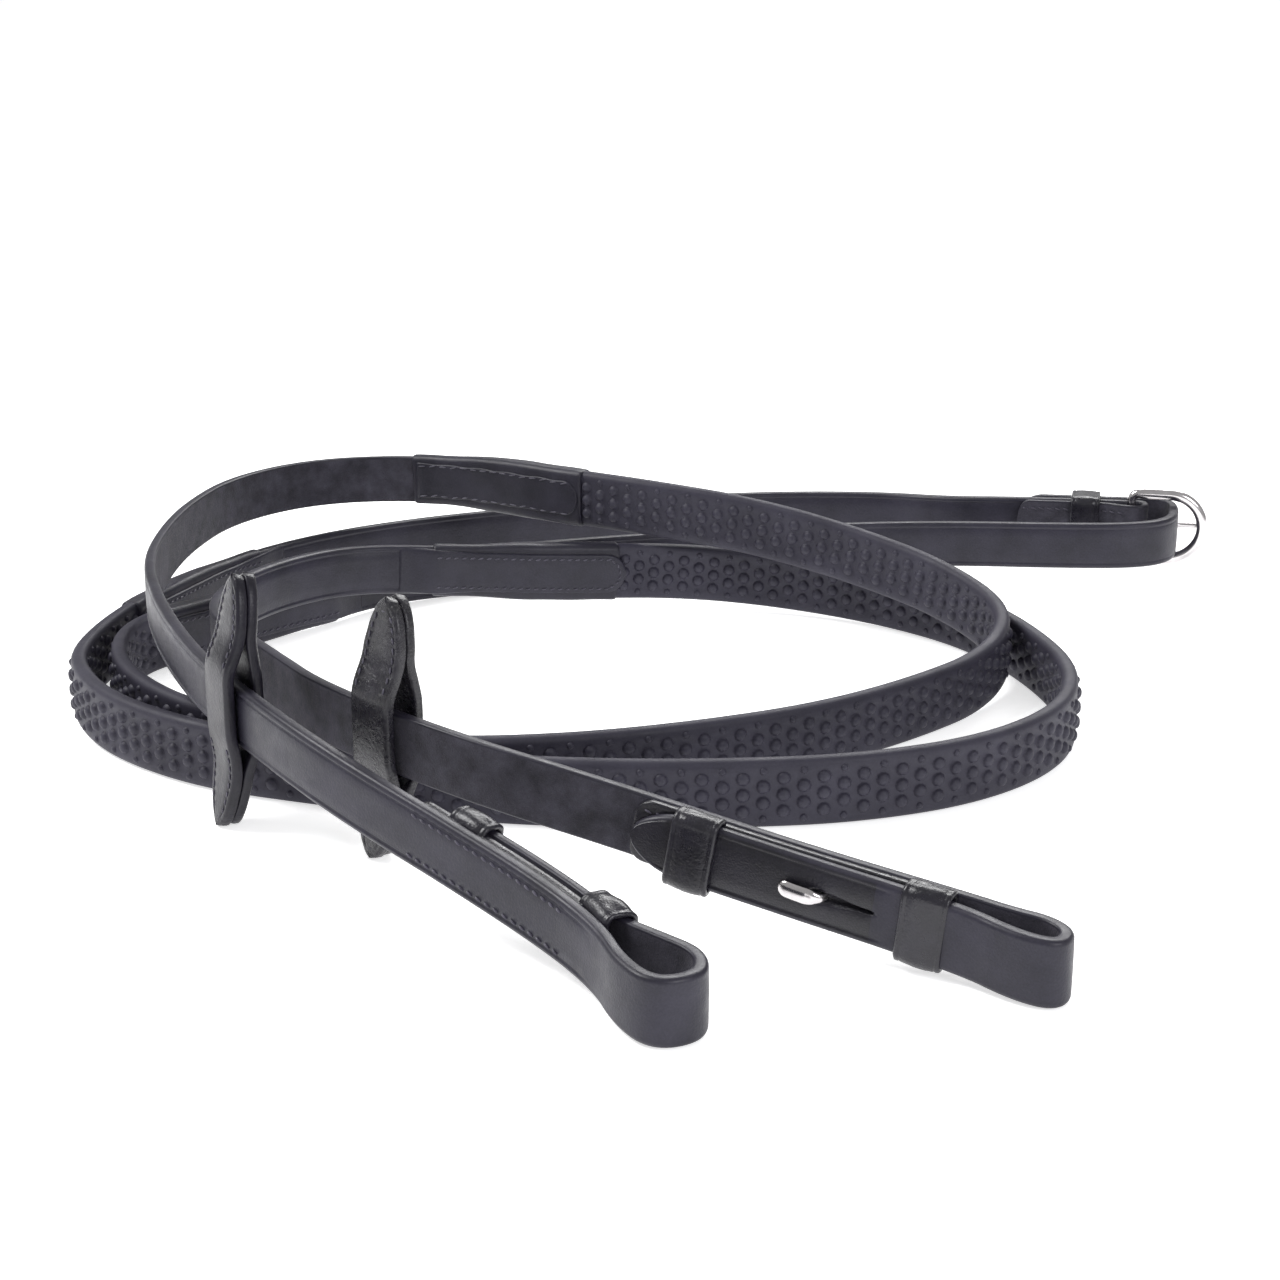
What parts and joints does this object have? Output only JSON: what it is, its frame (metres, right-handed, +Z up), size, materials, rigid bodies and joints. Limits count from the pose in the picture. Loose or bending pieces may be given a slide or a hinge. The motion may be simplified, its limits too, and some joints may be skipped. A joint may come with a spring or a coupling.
{
  "type": "leather reins",
  "caption": "Pair of black leather riding reins with pimpled rubber grips, hook-stud bit ends, martingale stops and a centre buckle, loosely coiled on edge.",
  "frame": {"origin": "centre of the bounding box's bottom face, on the ground the reins lie on", "axes": "+Z up, +Y from the bit ends towards the buckle, +X to the right seen from the bit ends"},
  "size_m": [0.3692, 0.4058, 0.066],
  "materials": {
    "strap_leather": "waxed black bridle leather",
    "trim_leather": "glossy fine grained black leather",
    "wrap_leather": "thin black leather, satin",
    "grip_rubber": "matt black rubber with raised pimples",
    "steel": "polished stainless steel"
  },
  "bodies": {
    "root": {"left_front_strap": "strap_leather", "left_hand_strap": "strap_leather", "left_stud_backing": "trim_leather", "left_hook_stud": "steel", "left_runner": "trim_leather", "left_keeper": "trim_leather", "left_wrap_front": "wrap_leather", "left_wrap_rear": "wrap_leather", "left_grip_core": "strap_leather", "left_grip_rubber": "grip_rubber", "right_front_strap": "strap_leather", "right_hand_strap": "strap_leather", "right_stud_backing": "trim_leather", "right_hook_stud": "steel", "right_runner": "trim_leather", "right_keeper": "trim_leather", "right_wrap_front": "wrap_leather", "right_wrap_rear": "wrap_leather", "right_grip_core": "strap_leather", "right_grip_rubber": "grip_rubber", "buckle_keeper": "trim_leather"},
    "left_stop": {"left_stop_outer_leaf": "trim_leather", "left_stop_inner_leaf": "trim_leather"},
    "right_stop": {"right_stop_outer_leaf": "trim_leather", "right_stop_inner_leaf": "trim_leather"},
    "buckle_frame": {"buckle_frame": "steel"},
    "buckle_tongue": {"buckle_tongue": "steel"}
  },
  "joints": [
    {"name": "left_stop_slide", "type": "slide", "parent": "root", "child": "left_stop", "axis": [-0.5159, 0.8566, 0], "range_m": [-0.012, 0.005]},
    {"name": "right_stop_slide", "type": "slide", "parent": "root", "child": "right_stop", "axis": [-0.7022, 0.712, 0], "range_m": [-0.01, 0.008]},
    {"name": "buckle_hinge", "type": "hinge", "parent": "root", "child": "buckle_frame", "pos_m": [0.15777, 0.16456, 0.0135], "axis": [0, 0, 1], "range_deg": [-2, 2]},
    {"name": "tongue_hinge", "type": "hinge", "parent": "buckle_frame", "child": "buckle_tongue", "pos_m": [0.15777, 0.16456, 0.0135], "axis": [0, 0, 1], "range_deg": [0, 1.2]}
  ]
}
